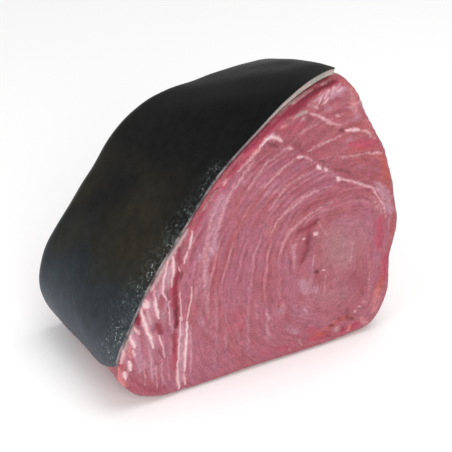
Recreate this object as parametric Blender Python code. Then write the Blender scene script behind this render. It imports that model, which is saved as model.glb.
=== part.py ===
"""Raw tuna steak: a thick block of loin with its skin on, cut twice across the fish.

The block stands on a flat cut side. The wide cut face looks along -Y, the smaller one along +Y,
and the dark skin wraps the upper left from a foot near the floor up to a ridge at the top.
All sizes are millimetres until the meshes are made. X runs to the right, Z up.
"""
import bmesh
import bpy
import numpy as np
from mathutils import Vector
from mathutils.geometry import delaunay_2d_cdt

MM = 0.001

# The block: two cuts across the loin, with each cut's outline drawn in X and Z.
FRONT_Y = -34.2
REAR_Y = 35.0
MIDDLE_SWELL = 1.6
AROUND_STEP = 5.0
SIDE_STATIONS = 12

# Each place on the outline: its name, then X and Z on the front cut and on the rear cut.
OUTLINE = (
    ("foot", (-62.6, 26.0), (-71.4, 25.0)),
    ("flank low", (-54.6, 44.6), (-68.2, 41.6)),
    ("flank", (-43.8, 64.1), (-56.4, 59.8)),
    ("flank high", (-30.5, 82.6), (-43.4, 77.0)),
    ("shoulder", (-17.0, 100.9), (-31.8, 93.2)),
    ("back low", (0.9, 116.9), (-17.0, 103.6)),
    ("back", (16.0, 129.0), (7.0, 107.6)),
    ("crest", (27.5, 134.9), (30.0, 109.4)),
    ("ridge", (34.8, 136.0), (40.5, 109.0)),
    ("crown", (41.2, 130.6), (47.5, 105.8)),
    ("crown low", (47.6, 121.8), (54.0, 99.5)),
    ("neck", (50.8, 113.8), (58.5, 92.0)),
    ("right high", (61.9, 93.2), (63.5, 78.0)),
    ("right", (69.2, 68.0), (66.5, 60.0)),
    ("belly", (71.6, 54.0), (67.0, 45.0)),
    ("dip", (69.0, 37.5), (65.5, 30.0)),
    ("right low", (69.8, 18.5), (63.5, 15.0)),
    ("corner right", (62.2, 2.8), (55.0, 2.8)),
    ("base right", (47.0, 0.0), (42.0, 0.0)),
    ("base", (0.0, 0.0), (0.0, 0.0)),
    ("base left", (-37.0, 0.0), (-43.0, 0.0)),
    ("corner left", (-51.4, 4.6), (-57.4, 2.4)),
    ("lobe", (-60.0, 14.2), (-67.6, 12.5)),
)
PLACES = [name for name, front, rear in OUTLINE]

# The skin: a tough dark sheet, thickest at the ridge, with a thin gap to the flesh.
SKIN_THICKNESS = 1.3
RIDGE_THICKNESS = 2.8
SKIN_GAP = 0.6
FOOT_DROP = 1.7
FOOT_DROP_POWER = 2.6
SKIN_COLUMNS = 30

# The rims of the cuts: how far each turns in, and over what depth along Y.
FRONT_RIM_STEPS = 4
REAR_RIM_STEPS = 3
REAR_RIM = 2.8
REAR_RIM_DEPTH = 6.4
FLOOR_RIM = 3.6
SIDE_RIM = 2.6
SKINNED_RIM = 0.9
OPEN_GAP = 1.5
OPEN_GAP_DEPTH = 7.0

# Relief of the cut faces.
FRONT_GRID = 2.7
REAR_GRID = 4.6
RELIEF_MARGIN = 5.0
FACE_DOME = 0.9
FACE_MIDDLE = (5.0, 55.0)
FACE_SPREAD = (55.0, 45.0)
GROOVE_DEPTH = 0.5
GROOVE_SHARE = 0.24
SEAM_DEPTH = 0.7
SEAM_WIDTH = 2.6
SWELL_REACH = 0.33
LOBE_SWELL = 1.1
LOBE_LEFT, LOBE_RIGHT = -42.5, -32.5
LOBE_TOP, LOBE_FULL = 62.0, 30.0
LOBE_CREASE = ((-31.0, 66.0), (-33.8, 46.0), (-34.4, 26.0), (-33.0, 4.0))
CREASE_WIDTH = 3.2

# The smooth eye of the loin, round which the flakes lie like the rings of a tree. Each row is a
# direction away from the eye, the eye's edge that way, and the thickness of one flake.
EYE_SIDES = (
    ((-1.00, 0.00), -19.5, 7.0),
    ((-0.71, 0.70), 35.0, 6.0),
    ((0.10, 0.99), 76.0, 6.2),
    ((1.00, 0.00), 60.0, 6.0),
    ((-0.60, -0.80), -29.0, 6.4),
    ((0.00, -1.00), -14.0, 7.0),
)
EYE_CORE = 3.0
EYE_POWER = 4.0
RINGS_SHIFT_REAR = 0.35

# The seam where the upper flakes meet the lower ones, and the upper flakes' own fan.
SEAM = ((9.0, 113.5), (20.5, 101.5), (35.0, 91.0), (45.0, 83.0), (58.0, 75.5), (66.5, 62.0))
FAN_FLAKE = 11.0
FAN_PEAK_X = 46.0
FAN_DROOP = 0.018

# How far along the outline, in places, the flesh rises to the outside past the skin's two ends.
PAST_RIDGE = 8.15
RIDGE_RISE = 0.8
FOOT_MARGIN = 0.2
FOOT_RISE = 0.35

FLESH_COLOUR = (0.43, 0.155, 0.195, 1.0)
FLESH_ROUGHNESS = 0.4
SKIN_COLOUR = (0.016, 0.017, 0.019, 1.0)
SKIN_ROUGHNESS = 0.35


def place(name):
    return float(PLACES.index(name))


def curve_loop(points, t):
    """The smooth closed curve through the points, at t counted in points from the first."""
    points = np.array(points, float)
    count = len(points)
    ahead = np.roll(points, -1, axis=0) - points
    length = np.linalg.norm(ahead, axis=1)
    behind_length = np.roll(length, 1)[:, None]
    slope = ahead / length[:, None]
    behind = np.roll(slope, 1, axis=0)
    tangent = (slope * behind_length + behind * length[:, None]) / (behind_length + length[:, None])
    i = np.floor(t).astype(int) % count
    j = (i + 1) % count
    f = (t - np.floor(t))[..., None]
    span = length[i][..., None]
    return (
        (2 * f**3 - 3 * f**2 + 1) * points[i]
        + (f**3 - 2 * f**2 + f) * span * tangent[i]
        + (3 * f**2 - 2 * f**3) * points[j]
        + (f**3 - f**2) * span * tangent[j]
    )


def outline(t, s):
    """X and Z on the block's outside, at t round the outline and s from the front cut to the rear."""
    front = curve_loop([row[1] for row in OUTLINE], t)
    rear = curve_loop([row[2] for row in OUTLINE], t)
    s = np.asarray(s, float)[..., None]
    return front * (1 - s) + rear * s


def inward(t, s):
    """The direction in X and Z that points into the block."""
    step = 0.02
    along = outline(t + step, s) - outline(t - step, s)
    along /= np.linalg.norm(along, axis=-1, keepdims=True)
    return np.stack([along[..., 1], -along[..., 0]], axis=-1)


def smooth_step(low, high, value):
    f = np.clip((value - low) / (high - low), 0.0, 1.0)
    return f * f * (3 - 2 * f)


def swell(t, s):
    """How far the sides swell halfway between the cuts. The base and the foot of the skin do not."""
    sides = smooth_step(place("foot"), place("flank"), t)
    sides *= 1 - smooth_step(place("right low"), place("base right"), t)
    return MIDDLE_SWELL * np.sin(np.pi * s) * sides


def distance_to_line(points, x, z):
    """Distance from each place to a line of short straight runs, with the side it lies on."""
    best = np.full(np.shape(x), 1e9)
    side = np.ones(np.shape(x))
    for (ax, az), (bx, bz) in zip(points[:-1], points[1:]):
        run = np.hypot(bx - ax, bz - az)
        ux, uz = (bx - ax) / run, (bz - az) / run
        f = np.clip((x - ax) * ux + (z - az) * uz, 0.0, run)
        d = np.hypot(x - ax - f * ux, z - az - f * uz)
        across = ux * (z - az) - uz * (x - ax)
        side = np.where(d < best, np.sign(across), side)
        best = np.minimum(best, d)
    return best, side


def ring_count(x, z):
    """Flakes counted outwards from the eye of the loin."""
    total = np.zeros(np.shape(x))
    for (nx, nz), edge, flake in EYE_SIDES:
        total += np.maximum(0.0, (nx * x + nz * z - edge) / flake + EYE_CORE) ** EYE_POWER
    return total ** (1 / EYE_POWER) - EYE_CORE


def flake_relief(x, z, shift):
    """Depth of the grooves between flakes, the seam among them."""
    rings = ring_count(x, z) + shift
    fan = (z + FAN_DROOP * (x - FAN_PEAK_X) ** 2) / FAN_FLAKE + shift
    seam, side = distance_to_line(SEAM, x, z)
    upper = (side > 0) & (x > SEAM[0][0])
    phase = np.where(upper, fan, rings)
    groove = np.exp(-((phase - np.round(phase)) / GROOVE_SHARE) ** 2)
    groove *= smooth_step(0.1, 0.9, np.where(upper, 1.0, rings))
    seam_groove = np.exp(-((seam / SEAM_WIDTH) ** 2))
    return GROOVE_DEPTH * groove * (1 - seam_groove) + SEAM_DEPTH * seam_groove


def dome(x, z):
    """The low dome of a cut face."""
    across = (x - FACE_MIDDLE[0]) / FACE_SPREAD[0]
    up = (z - FACE_MIDDLE[1]) / FACE_SPREAD[1]
    return FACE_DOME * np.exp(-(across**2) - up**2)


def front_swell(x, z):
    """How far the front cut stands out: its dome, and the fuller lobe at the lower left."""
    lobe = smooth_step(LOBE_RIGHT, LOBE_LEFT, x) * smooth_step(LOBE_TOP, LOBE_FULL, z)
    return dome(x, z) + LOBE_SWELL * lobe


def front_height(x, z, fade):
    """The front cut's relief, where fade takes the fine part of it away at the rim."""
    crease, _ = distance_to_line(LOBE_CREASE, x, z)
    fine = flake_relief(x, z, 0.0) + SEAM_DEPTH * np.exp(-((crease / CREASE_WIDTH) ** 2))
    return front_swell(x, z) - fine * fade


def rear_height(x, z, fade):
    """The rear cut's relief, which starts level with the rim."""
    return (dome(x, z) - flake_relief(x, z, RINGS_SHIFT_REAR)) * fade


def swell_left(s):
    """The share of the front swell that is left at s on the way back."""
    return np.clip(1 - s / SWELL_REACH, 0.0, 1.0)


def skin_start(s):
    """Where the skin begins on the outline: at the foot in front, and lower down behind it."""
    return -FOOT_DROP * (1 - (1 - s) ** FOOT_DROP_POWER)


def skin_thickness(t):
    return SKIN_THICKNESS + (RIDGE_THICKNESS - SKIN_THICKNESS) * smooth_step(
        place("back low"), place("crest"), t
    )


def under_skin(t, s):
    """How far the flesh lies in from the outside, to leave room for the skin."""
    wrapped = np.where(t > place("base"), t - len(OUTLINE), t)
    start = skin_start(s) - FOOT_MARGIN
    covered = smooth_step(start - FOOT_RISE, start, wrapped)
    covered *= 1 - smooth_step(PAST_RIDGE, PAST_RIDGE + RIDGE_RISE, wrapped)
    return (skin_thickness(wrapped) + SKIN_GAP) * covered


def rear_turn(depth):
    """How far the outside turns in close to the rear cut, depth counted from that cut."""
    return REAR_RIM * np.clip(1 - depth / REAR_RIM_DEPTH, 0.0, 1.0) ** 2


def front_rim(t):
    """How far the flesh's front rim turns in, and over what depth."""
    floor = smooth_step(place("dip"), place("corner right"), t)
    floor *= 1 - smooth_step(place("corner left"), place("lobe") + 0.8, t)
    skinned = 1 - smooth_step(place("ridge"), place("crown"), t)
    open_gap = smooth_step(place("shoulder"), place("back"), t) * skinned
    turn = SIDE_RIM + (FLOOR_RIM - SIDE_RIM) * floor
    turn = turn * (1 - skinned) + (SKINNED_RIM + OPEN_GAP * open_gap) * skinned
    depth = turn + (OPEN_GAP_DEPTH - turn) * open_gap
    return turn, depth


def around_places():
    """Places round the outline, about AROUND_STEP apart."""
    fine = np.linspace(0, len(OUTLINE), 4001)
    points = outline(fine, np.full(fine.shape, 0.3))
    length = np.concatenate([[0], np.cumsum(np.linalg.norm(np.diff(points, axis=0), axis=1))])
    count = int(round(length[-1] / AROUND_STEP))
    t = np.interp(np.arange(count) * length[-1] / count, length, fine)
    t[np.argmin(np.abs(t - PAST_RIDGE))] = PAST_RIDGE
    return t


def flesh_loop(t, s, turned, y):
    """One loop of the flesh round the block."""
    inset = under_skin(t, s) + turned - swell(t, s)
    xz = outline(t, s) + inward(t, s) * inset[:, None]
    xz[:, 1] = np.maximum(xz[:, 1], 0.0)
    return np.stack([xz[:, 0], np.broadcast_to(y, t.shape), xz[:, 1]], axis=1)


def flesh_loops(t):
    """The loops from the inner edge of the front rim back to the inner edge of the rear rim."""
    loops = []
    turn, depth = front_rim(t)
    for angle in np.linspace(np.pi / 2, 0, FRONT_RIM_STEPS + 1):
        back = depth * (1 - np.sin(angle))
        s = back / (REAR_Y - FRONT_Y)
        loop = flesh_loop(t, s, turn * (1 - np.cos(angle)), FRONT_Y + back)
        loop[:, 1] -= front_swell(loop[:, 0], loop[:, 2]) * swell_left(s)
        loops.append(loop)
    first = loops[-1][:, 1]
    last = REAR_Y - REAR_RIM_DEPTH
    for f in np.arange(1, SIDE_STATIONS) / SIDE_STATIONS:
        y = first * (1 - f) + last * f
        s = (y - FRONT_Y) / (REAR_Y - FRONT_Y)
        loops.append(flesh_loop(t, s, np.zeros(t.shape), y))
    for depth in REAR_RIM_DEPTH * (1 - np.arange(REAR_RIM_STEPS + 1) / REAR_RIM_STEPS):
        s = np.full(t.shape, (REAR_Y - depth - FRONT_Y) / (REAR_Y - FRONT_Y))
        turned = np.full(t.shape, rear_turn(depth))
        loops.append(flesh_loop(t, s, turned, REAR_Y - depth))
    return loops


def inside_loop(loop, x, z):
    """Which places lie inside a closed loop of X and Z."""
    found = np.zeros(x.shape, bool)
    for (ax, az), (bx, bz) in zip(loop, np.roll(loop, -1, axis=0)):
        crosses = (az > z) != (bz > z)
        height = np.where(bz == az, 1.0, bz - az)
        found ^= crosses & (x < (bx - ax) * (z - az) / height + ax)
    return found


def fill_cut(loop, grid):
    """Fills a cut's rim with even triangles. Returns new places, and triangles by their numbers."""
    low, high = loop.min(axis=0), loop.max(axis=0)
    rows = np.arange(low[1], high[1], grid * np.sqrt(0.75))
    x, z = [], []
    for number, row in enumerate(rows):
        line = np.arange(low[0] + (number % 2) * grid / 2, high[0], grid)
        x.append(line)
        z.append(np.full(line.shape, row))
    x, z = np.concatenate(x), np.concatenate(z)
    gap, _ = distance_to_line([*loop, loop[0]], x, z)
    keep = inside_loop(loop, x, z) & (gap > grid * 0.6)
    inner = np.stack([x[keep], z[keep]], axis=1)
    places = np.concatenate([loop, inner])
    count = len(loop)
    rim = [(number, (number + 1) % count) for number in range(count)]
    points = [Vector(point) for point in places]
    _, _, faces, origins, _, _ = delaunay_2d_cdt(points, rim, [], 0, 1e-5, True)
    triangles = np.array([[origins[corner][0] for corner in face] for face in faces])
    middle = places[triangles].mean(axis=1)
    return inner, triangles[inside_loop(loop, middle[:, 0], middle[:, 1])]


def new_object(name, points, faces, colour, roughness):
    """A closed mesh in metres, its faces turned out, with its own material."""
    shape = bmesh.new()
    corners = [shape.verts.new(Vector(point) * MM) for point in points]
    for face in faces:
        shape.faces.new([corners[number] for number in face])
    bmesh.ops.triangulate(shape, faces=shape.faces)
    bmesh.ops.recalc_face_normals(shape, faces=shape.faces)
    mesh = bpy.data.meshes.new(name)
    shape.to_mesh(mesh)
    shape.free()
    mesh.shade_smooth()
    mesh.set_sharp_from_angle(angle=np.radians(50))
    material = bpy.data.materials.new(name)
    material.use_nodes = True
    principled = material.node_tree.nodes["Principled BSDF"]
    principled.inputs["Base Color"].default_value = colour
    principled.inputs["Roughness"].default_value = roughness
    principled.inputs["Metallic"].default_value = 0.0
    mesh.materials.append(material)
    result = bpy.data.objects.new(name, mesh)
    bpy.context.scene.collection.objects.link(result)
    return result


def ring_faces(first, second, count):
    """Four-sided faces between two loops of count points that start at these numbers."""
    return [
        (first + i, first + (i + 1) % count, second + (i + 1) % count, second + i)
        for i in range(count)
    ]


def make_flesh():
    """The loin's flesh: loops from cut to cut, and both cuts filled with their relief."""
    t = around_places()
    count = len(t)
    loops = flesh_loops(t)
    points = [tuple(point) for loop in loops for point in loop]
    faces = []
    for number in range(len(loops) - 1):
        faces += ring_faces(number * count, (number + 1) * count, count)
    front = (0, FRONT_GRID, FRONT_Y, -1, front_height)
    rear = (len(loops) - 1, REAR_GRID, REAR_Y, 1, rear_height)
    for number, grid, plane, outward, height in (front, rear):
        rim = loops[number][:, [0, 2]]
        inner, triangles = fill_cut(rim, grid)
        x, z = inner[:, 0], inner[:, 1]
        gap, _ = distance_to_line([*rim, rim[0]], x, z)
        y = plane + outward * height(x, z, smooth_step(0.0, RELIEF_MARGIN, gap))
        numbers = [*range(number * count, (number + 1) * count)]
        numbers += range(len(points), len(points) + len(inner))
        points += zip(x, y, z)
        faces += [[numbers[corner] for corner in triangle] for triangle in triangles]
    return new_object("flesh", points, faces, FLESH_COLOUR, FLESH_ROUGHNESS)


def make_skin():
    """The skin as one sheet: an outer and an inner side, joined round the edges."""
    points = []
    reach = REAR_Y - FRONT_Y
    stations = np.linspace(0, 1 - REAR_RIM_DEPTH / reach, SIDE_STATIONS + 1)
    turn = np.arange(1, REAR_RIM_STEPS + 1) / REAR_RIM_STEPS
    stations = np.concatenate([stations, 1 - REAR_RIM_DEPTH * (1 - turn) / reach])
    for inner in (False, True):
        for s in stations:
            start = skin_start(s)
            t = start + (place("ridge") - start) * np.linspace(0, 1, SKIN_COLUMNS)
            along = np.full(t.shape, s)
            inset = rear_turn((1 - s) * reach) - swell(t, along) + skin_thickness(t) * inner
            wrapped = np.mod(t, len(OUTLINE))
            xz = outline(wrapped, along) + inward(wrapped, along) * inset[:, None]
            y = FRONT_Y + s * reach - front_swell(xz[:, 0], xz[:, 1]) * swell_left(s)
            points += [(x, depth, z) for (x, z), depth in zip(xz, y)]
    rows = len(stations)
    inside = rows * SKIN_COLUMNS
    faces = []
    for row in range(rows - 1):
        for column in range(SKIN_COLUMNS - 1):
            corner = row * SKIN_COLUMNS + column
            quad = (corner, corner + 1, corner + SKIN_COLUMNS + 1, corner + SKIN_COLUMNS)
            faces.append(quad)
            faces.append([inside + number for number in reversed(quad)])
    edge = [*range(SKIN_COLUMNS - 1)]
    edge += [row * SKIN_COLUMNS + SKIN_COLUMNS - 1 for row in range(rows - 1)]
    edge += [inside - 1 - column for column in range(SKIN_COLUMNS - 1)]
    edge += [row * SKIN_COLUMNS for row in range(rows - 1, 0, -1)]
    for here, there in zip(edge, edge[1:] + edge[:1]):
        faces.append((here, there, inside + there, inside + here))
    return new_object("skin", points, faces, SKIN_COLOUR, SKIN_ROUGHNESS)


def stand_on_middle(pieces):
    """Puts the origin under the middle of the whole block, at the floor."""
    corners = np.array([corner.co for piece in pieces for corner in piece.data.vertices])
    middle = (corners.min(axis=0) + corners.max(axis=0)) / 2
    for piece in pieces:
        piece.location = (-middle[0], -middle[1], 0.0)


for old in list(bpy.data.objects):
    bpy.data.objects.remove(old, do_unlink=True)

flesh = make_flesh()
skin = make_skin()
stand_on_middle([flesh, skin])
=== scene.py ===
# %% [markdown]
# # A raw tuna steak
#
# This is a thick block of loin, cut twice across the fish, with its dark skin left on one side. The
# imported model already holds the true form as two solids, the flesh and the skin. The cells below
# dress them: each solid is copied and refined, the flakes and the white fat are drawn on it, and it
# gets a finish made of nodes.

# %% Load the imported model
import math

import bpy
import numpy as np
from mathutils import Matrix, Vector


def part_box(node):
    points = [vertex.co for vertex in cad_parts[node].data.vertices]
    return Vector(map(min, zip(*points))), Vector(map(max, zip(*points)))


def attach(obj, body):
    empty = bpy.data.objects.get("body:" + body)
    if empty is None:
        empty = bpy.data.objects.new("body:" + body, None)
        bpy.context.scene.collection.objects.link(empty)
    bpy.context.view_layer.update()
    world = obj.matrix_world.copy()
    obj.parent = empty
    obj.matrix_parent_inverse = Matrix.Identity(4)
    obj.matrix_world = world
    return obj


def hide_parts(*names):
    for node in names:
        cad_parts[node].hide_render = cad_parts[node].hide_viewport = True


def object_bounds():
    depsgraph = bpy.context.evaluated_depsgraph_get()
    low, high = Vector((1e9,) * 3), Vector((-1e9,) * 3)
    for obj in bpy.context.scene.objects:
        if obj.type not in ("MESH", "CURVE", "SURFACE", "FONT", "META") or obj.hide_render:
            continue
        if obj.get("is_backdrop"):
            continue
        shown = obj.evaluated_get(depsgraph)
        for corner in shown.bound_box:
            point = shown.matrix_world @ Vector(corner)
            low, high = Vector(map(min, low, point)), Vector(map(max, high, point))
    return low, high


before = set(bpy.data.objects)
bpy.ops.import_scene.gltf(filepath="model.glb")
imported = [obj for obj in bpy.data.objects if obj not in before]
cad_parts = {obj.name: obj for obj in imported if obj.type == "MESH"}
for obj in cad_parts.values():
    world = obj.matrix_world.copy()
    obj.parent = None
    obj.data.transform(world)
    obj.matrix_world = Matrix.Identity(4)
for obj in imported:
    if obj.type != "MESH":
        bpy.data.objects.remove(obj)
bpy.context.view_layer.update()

MM = 0.001

# %% [markdown]
# The block was photographed from its left front and from above, with a long lens, so its edges
# hardly converge. The camera stands on a line from the middle of the block, given by two angles and
# a distance, because that is how a photographer would walk round it.

# %% Camera
AZIMUTH = math.radians(-27)
ELEVATION = math.radians(33)
DISTANCE = 540 * MM
AIM = Vector((5.0, 0.0, 52.5)) * MM
towards_camera = Vector((
    math.sin(AZIMUTH) * math.cos(ELEVATION),
    -math.cos(AZIMUTH) * math.cos(ELEVATION),
    math.sin(ELEVATION),
))
bpy.ops.object.camera_add(
    location=AIM + towards_camera * DISTANCE,
    rotation=towards_camera.to_track_quat("Z", "Y").to_euler(),
)
camera = bpy.context.object
camera.name = "camera"
camera.data.lens = 100
camera.data.sensor_width = 36
bpy.context.scene.camera = camera
print("camera at, mm:", [round(place / MM) for place in camera.location])

# %% [markdown]
# Moist fish looks best in wide, soft light. A large panel in front and above lights the cut face, a
# second one lifts the skin from the left, and a third from above keeps the floor white. The world
# behind the block stays dim: the skin mirrors it, and a bright sky there would turn the black skin
# grey.

# %% Floor, world and lights
FLOOR_SIZE = 6.0
FLOOR_GAP = 0.1 * MM
FLOOR_WHITE = (0.97, 0.97, 0.97, 1)
WORLD_STRENGTH = 0.42

bpy.ops.mesh.primitive_plane_add(size=FLOOR_SIZE, location=(0, 0, -FLOOR_GAP))
floor = bpy.context.object
floor.name = "floor"
floor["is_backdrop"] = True
floor_paint = bpy.data.materials.new("floor")
floor_paint.use_nodes = True
floor_shader = floor_paint.node_tree.nodes["Principled BSDF"]
floor_shader.inputs["Base Color"].default_value = FLOOR_WHITE
floor_shader.inputs["Roughness"].default_value = 0.9
floor.data.materials.append(floor_paint)

world = bpy.data.worlds.new("studio")
world.use_nodes = True
background = world.node_tree.nodes["Background"]
background.inputs["Color"].default_value = (1.0, 1.0, 1.0, 1)
background.inputs["Strength"].default_value = WORLD_STRENGTH
bpy.context.scene.world = world
bpy.context.scene.view_settings.view_transform = "Standard"

# Each panel: its name, its place in metres, its width, its power in watts and its colour.
PANELS = (
    ("front panel", (-0.25, -1.1, 0.75), 0.9, 9.2, (1.0, 0.985, 0.97)),
    ("left panel", (-1.1, -0.15, 0.55), 0.7, 3.0, (0.93, 0.97, 1.0)),
    ("top panel", (0.25, -0.1, 1.3), 1.0, 9.0, (1.0, 1.0, 1.0)),
)
for name, where, width, power, colour in PANELS:
    aim = Vector(where) - AIM
    bpy.ops.object.light_add(
        type="AREA", location=where, rotation=aim.to_track_quat("Z", "Y").to_euler()
    )
    panel = bpy.context.object
    panel.name = name
    panel.data.size = width
    panel.data.energy = power
    panel.data.color = colour
print("lights:", len(PANELS))

# %% [markdown]
# Blender's operators act on whatever is selected, and the loaded solids are still selected. So the
# first helper picks one object alone, as a click does. The second adds a modifier and applies it.
# The third starts a new piece from a solid: it takes a copy of the mesh, whose triangles are loose,
# and welds their corners, because a smooth surface needs shared corners. The others cut chosen faces
# finer, read a mesh as an array of numbers and count its triangles.

# %% Modelling helpers
def pick(piece):
    """Selects one object alone and makes it the active one."""
    bpy.ops.object.select_all(action="DESELECT")
    piece.select_set(True)
    bpy.context.view_layer.objects.active = piece


def apply(piece, kind, **settings):
    """Adds one modifier to a piece and applies it."""
    pick(piece)
    modifier = piece.modifiers.new(kind.title(), kind)
    for name, value in settings.items():
        setattr(modifier, name, value)
    bpy.ops.object.modifier_apply(modifier=modifier.name)


def copy_solid(node, name):
    """A new object with its own welded copy of a solid's mesh."""
    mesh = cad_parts[node].data.copy()
    mesh.materials.clear()
    piece = bpy.data.objects.new(name, mesh)
    bpy.context.scene.collection.objects.link(piece)
    pick(piece)
    bpy.ops.object.mode_set(mode="EDIT")
    bpy.ops.mesh.select_all(action="SELECT")
    bpy.ops.mesh.remove_doubles(threshold=0.01 * MM)
    bpy.ops.mesh.customdata_custom_splitnormals_clear()
    bpy.ops.object.mode_set(mode="OBJECT")
    return piece


def subdivide_faces(piece, chosen, cuts):
    """Selects the chosen faces and cuts each of their edges into cuts + 1."""
    mesh = piece.data
    mesh.vertices.foreach_set("select", np.zeros(len(mesh.vertices), bool))
    mesh.edges.foreach_set("select", np.zeros(len(mesh.edges), bool))
    mesh.polygons.foreach_set("select", chosen)
    pick(piece)
    bpy.context.tool_settings.mesh_select_mode = (False, False, True)
    bpy.ops.object.mode_set(mode="EDIT")
    bpy.ops.mesh.subdivide(number_cuts=cuts, ngon=False)
    bpy.ops.object.mode_set(mode="OBJECT")


def read(things, what):
    """A vector of three numbers for each corner or face of a mesh, as one array."""
    values = np.zeros(len(things) * 3)
    things.foreach_get(what, values)
    return values.reshape(-1, 3)


def triangles(piece):
    """How many triangles a piece has."""
    return sum(len(face.vertices) - 2 for face in piece.data.polygons)


# %% [markdown]
# The flesh is one solid lump. A voxel remesh turns its long triangles into even squares, which can
# be cut finer wherever the picture needs it: the front cut carries hair-fine lines, so its squares
# are cut in three, and the lobe at the lower left, with its sharp white streaks, is cut once more.
# The rear cut gets one cut, and the sides stay coarse. A light smooth then takes away the steps of
# the voxels.

# %% The flesh block's mesh
VOXEL = 1.8 * MM
CUT_FACING = 0.45
CUT_DEPTH = 20.0
LOBE_BOX = (-72.0, -26.0, 0.0, 82.0)

flesh = copy_solid("flesh", "flesh_block")
apply(flesh, "REMESH", mode="VOXEL", voxel_size=VOXEL, use_smooth_shade=True)
flesh_low, flesh_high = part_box("flesh")
front_y, rear_y = flesh_low.y / MM, flesh_high.y / MM


def faces_of_cut(facing):
    """Which faces of the flesh lie on the front (-1) or the rear (1) cut."""
    middles = read(flesh.data.polygons, "center") / MM
    normals = read(flesh.data.polygons, "normal")
    return (normals[:, 1] * facing > CUT_FACING) & (middles[:, 1] * facing > CUT_DEPTH)


subdivide_faces(flesh, faces_of_cut(-1), 2)
subdivide_faces(flesh, faces_of_cut(1), 1)
apply(flesh, "SMOOTH", factor=0.5, iterations=4)
low_x, high_x, low_z, high_z = LOBE_BOX
middles = read(flesh.data.polygons, "center") / MM
in_lobe = (middles[:, 0] > low_x) & (middles[:, 0] < high_x)
in_lobe &= (middles[:, 2] > low_z) & (middles[:, 2] < high_z) & faces_of_cut(-1)
subdivide_faces(flesh, in_lobe, 1)
apply(flesh, "SMOOTH", factor=0.4, iterations=1)
print("flesh block:", triangles(flesh), "triangles")

# %% [markdown]
# A tuna's loin is built like a tree trunk. Round a smooth eye lie rings of muscle, each about 6 mm
# thick, with a pale skin of tissue between them. Above a long seam the flakes lie flatter, like a
# fan. The rings are worked out from the eye's own sides: each side gives a count of flakes away
# from the eye, and a high power blends the counts into one round form. The numbers repeat those of
# the solid's relief, so that the drawn lines follow its grooves.

# %% Flakes
EYE_SIDES = (
    ((-1.00, 0.00), -19.5, 7.0),
    ((-0.71, 0.70), 35.0, 6.0),
    ((0.10, 0.99), 76.0, 6.2),
    ((1.00, 0.00), 60.0, 6.0),
    ((-0.60, -0.80), -29.0, 6.4),
    ((0.00, -1.00), -14.0, 7.0),
)
EYE_CORE = 3.0
EYE_POWER = 4.0
SEAM = ((9.0, 113.5), (20.5, 101.5), (35.0, 91.0), (45.0, 83.0), (58.0, 75.5), (66.5, 62.0))
FAN_FLAKE = 11.0
FAN_PEAK_X = 46.0
FAN_DROOP = 0.018


def ring_count(x, z):
    """Flakes counted outwards from the eye of the loin."""
    total = np.zeros(x.shape)
    for (nx, nz), edge, flake in EYE_SIDES:
        total += np.maximum(0.0, (nx * x + nz * z - edge) / flake + EYE_CORE) ** EYE_POWER
    return total ** (1 / EYE_POWER) - EYE_CORE


print("sides of the eye:", len(EYE_SIDES), "points of the seam:", len(SEAM))

# %% [markdown]
# Three helpers do the measuring for all that follows. The first says how far a place is from a drawn
# line, on which side of it, and how far along it. The second eases a value from 0 to 1. The third
# adds up waves with random headings, which gives a smooth swell, so that nothing looks ruled.

# %% Helpers that measure and ripple
WAVES = 14


def line_gap(points, x, z):
    """How far each place is from a line of short runs, its side, and its share along the line."""
    best = np.full(x.shape, 1e9)
    side = np.ones(x.shape)
    share = np.zeros(x.shape)
    count = len(points) - 1
    for number, ((ax, az), (bx, bz)) in enumerate(zip(points[:-1], points[1:])):
        run = math.hypot(bx - ax, bz - az)
        ux, uz = (bx - ax) / run, (bz - az) / run
        along = np.clip((x - ax) * ux + (z - az) * uz, 0.0, run)
        gap = np.hypot(x - ax - along * ux, z - az - along * uz)
        nearer = gap < best
        side = np.where(nearer, np.sign(ux * (z - az) - uz * (x - ax)), side)
        share = np.where(nearer, (number + along / run) / count, share)
        best = np.minimum(best, gap)
    return best, side, share


def smooth_step(low, high, value):
    """0 up to low, 1 from high on, and smooth between them; it falls where low is the larger."""
    share = np.clip((value - low) / (high - low), 0.0, 1.0)
    return share * share * (3 - 2 * share)


def ripple(places, size, seed):
    """A smooth random swell of about -1 to 1, in waves of about this size in mm."""
    random = np.random.default_rng(seed)
    total = np.zeros(len(places))
    for _ in range(WAVES):
        heading = random.normal(size=3)
        heading *= 2 * math.pi / (np.linalg.norm(heading) * size * random.uniform(0.6, 1.5))
        total += np.sin(places @ heading + random.uniform(0, 2 * math.pi))
    return total / math.sqrt(WAVES)


# %% [markdown]
# The block is cut twice, and the same flakes run through it from one cut to the other. So every
# corner of the mesh is first sent to its place on the front cut: the rear cut is lower and lies
# further left, and a place on it is stretched and moved as far as the outline is. Lines drawn on the
# front then have their fellows at the back. The marks below were placed as on a flat cut. The
# real one isn't quite flat, so they are stretched and leaned by less than a hundredth, and the rings
# are drawn half a millimetre to the left of the solid's own.

# %% Where each corner lies on the front cut
REAR_STRETCH_X, REAR_MOVE_X = -0.03, 6.7
REAR_STRETCH_Z = 0.235
CUT_ROUNDING = 3.0
DRAWN_SHIFT = 0.5
DRAWN_LEAN = 0.005
DRAWN_STRETCH = 1.007

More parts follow.
